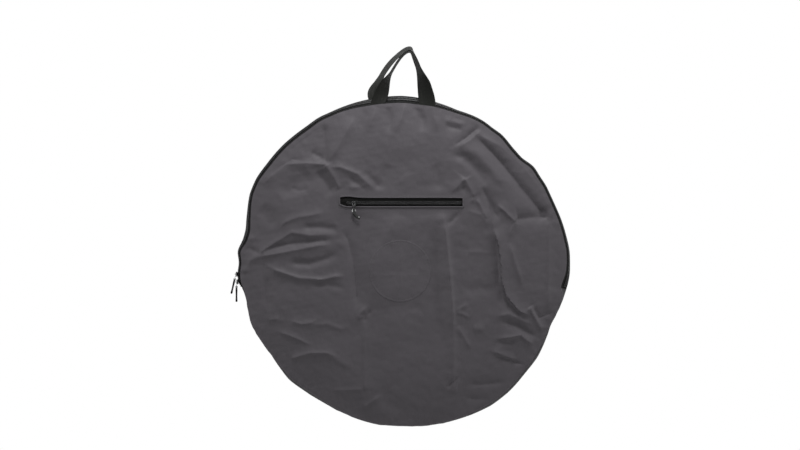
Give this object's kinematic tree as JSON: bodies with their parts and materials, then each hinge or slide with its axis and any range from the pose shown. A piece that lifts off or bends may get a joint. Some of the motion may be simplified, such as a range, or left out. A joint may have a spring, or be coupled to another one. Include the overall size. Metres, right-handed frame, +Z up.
{
  "type": "bicycle wheel bag",
  "caption": "Round soft cloth bag for one bicycle wheel, zipped over the top half, with two webbing handles and a zipped front pocket.",
  "frame": {"origin": "Hang point: the point of the hook under the tops of both handles, between them.", "axes": "+Z up, +X to the right and the pocket side of the bag faces -Y."},
  "size_m": [0.768, 0.0779, 0.8687],
  "materials": {
    "cloth": "charcoal grey plain-weave polyester, matt with a faint sheen",
    "lining": "thin dark grey polyester",
    "webbing": "black ribbed polyester webbing",
    "zip_tape": "black woven zip tape",
    "zip_coil": "black nylon coil",
    "zip_metal": "grey plated zinc and steel wire",
    "grip_rubber": "glossy black moulded rubber"
  },
  "bodies": {
    "bag": {"rear_panel": "cloth", "rear_hub_patch": "cloth", "front_panel_lower": "cloth", "front_hub_patch_lower": "cloth", "bottom_gusset": "cloth", "main_zip_rear_tape": "zip_tape", "main_zip_rear_coil": "zip_coil", "main_zip_front_tape_left_end": "zip_tape", "main_zip_front_tape_right_end": "zip_tape", "main_zip_front_coil_left_end": "zip_coil", "main_zip_front_coil_right_end": "zip_coil", "main_zip_left_stop": "zip_metal", "main_zip_right_stop": "zip_metal"},
    "flap": {"front_panel_upper": "cloth", "front_hub_patch_upper": "cloth", "main_zip_front_tape": "zip_tape", "main_zip_front_coil": "zip_coil", "pocket_zip_upper_tape": "zip_tape", "pocket_zip_lower_tape": "zip_tape", "pocket_zip_upper_coil": "zip_coil", "pocket_zip_lower_coil": "zip_coil", "pocket_zip_left_stop": "zip_metal", "pocket_zip_right_stop": "zip_metal", "pocket_bag_front_sheet": "lining", "pocket_bag_seam": "lining", "pocket_bag_rear_sheet": "lining"},
    "front_handle": {"front_handle": "webbing"},
    "rear_handle": {"rear_handle": "webbing"},
    "upper_slider": {"upper_slider_body": "zip_metal"},
    "upper_link": {"upper_slider_link": "zip_metal"},
    "upper_grip": {"upper_slider_grip": "grip_rubber"},
    "lower_slider": {"lower_slider_body": "zip_metal"},
    "lower_link": {"lower_slider_link": "zip_metal"},
    "lower_grip": {"lower_slider_grip": "grip_rubber"},
    "pocket_slider": {"pocket_slider_body": "zip_metal"},
    "pocket_link": {"pocket_slider_link": "zip_metal"},
    "pocket_grip": {"pocket_slider_grip": "grip_rubber"}
  },
  "joints": [
    {"name": "flap_fold", "type": "hinge", "parent": "bag", "child": "flap", "pos_m": [-0.018, -0.027, -0.489], "axis": [1, 0, 0], "range_deg": [0, 165]},
    {"name": "front_handle_fold", "type": "hinge", "parent": "flap", "child": "front_handle", "pos_m": [-0.018, -0.0109, -0.11306], "axis": [1, 0, 0], "range_deg": [0, 150]},
    {"name": "rear_handle_fold", "type": "hinge", "parent": "bag", "child": "rear_handle", "pos_m": [-0.018, 0.0109, -0.11306], "axis": [-1, 0, 0], "range_deg": [0, 150]},
    {"name": "upper_slider_run", "type": "hinge", "parent": "bag", "child": "upper_slider", "pos_m": [-0.018, 0, -0.477], "axis": [0, 1, 0], "range_deg": [0, 191.3]},
    {"name": "upper_link_swing", "type": "hinge", "parent": "upper_slider", "child": "upper_link", "pos_m": [-0.39721, 0, -0.50437], "axis": [0, 1, 0], "range_deg": [0, 110]},
    {"name": "upper_grip_swing", "type": "hinge", "parent": "upper_link", "child": "upper_grip", "pos_m": [-0.39977, 0, -0.51559], "axis": [0, 1, 0], "range_deg": [0, 45]},
    {"name": "lower_slider_run", "type": "hinge", "parent": "bag", "child": "lower_slider", "pos_m": [-0.018, 0, -0.477], "axis": [0, 1, 0], "range_deg": [-0.45, 0]},
    {"name": "lower_link_swing", "type": "hinge", "parent": "lower_slider", "child": "lower_link", "pos_m": [-0.39555, 0, -0.52181], "axis": [0, 1, 0], "range_deg": [-4, 14]},
    {"name": "lower_grip_swing", "type": "hinge", "parent": "lower_link", "child": "lower_grip", "pos_m": [-0.39555, 0, -0.53331], "axis": [0, 1, 0], "range_deg": [-3, 3]},
    {"name": "pocket_slider_run", "type": "slide", "parent": "flap", "child": "pocket_slider", "axis": [1, 0, 0], "range_m": [-0.01, 0.234]},
    {"name": "pocket_link_swing", "type": "hinge", "parent": "pocket_slider", "child": "pocket_link", "pos_m": [-0.1249, -0.0262, -0.342], "axis": [0, 1, 0], "range_deg": [-20, 14]},
    {"name": "pocket_grip_lift", "type": "hinge", "parent": "pocket_link", "child": "pocket_grip", "pos_m": [-0.1273, -0.0262, -0.35], "axis": [-1, 0, 0], "range_deg": [-4, 120]}
  ]
}
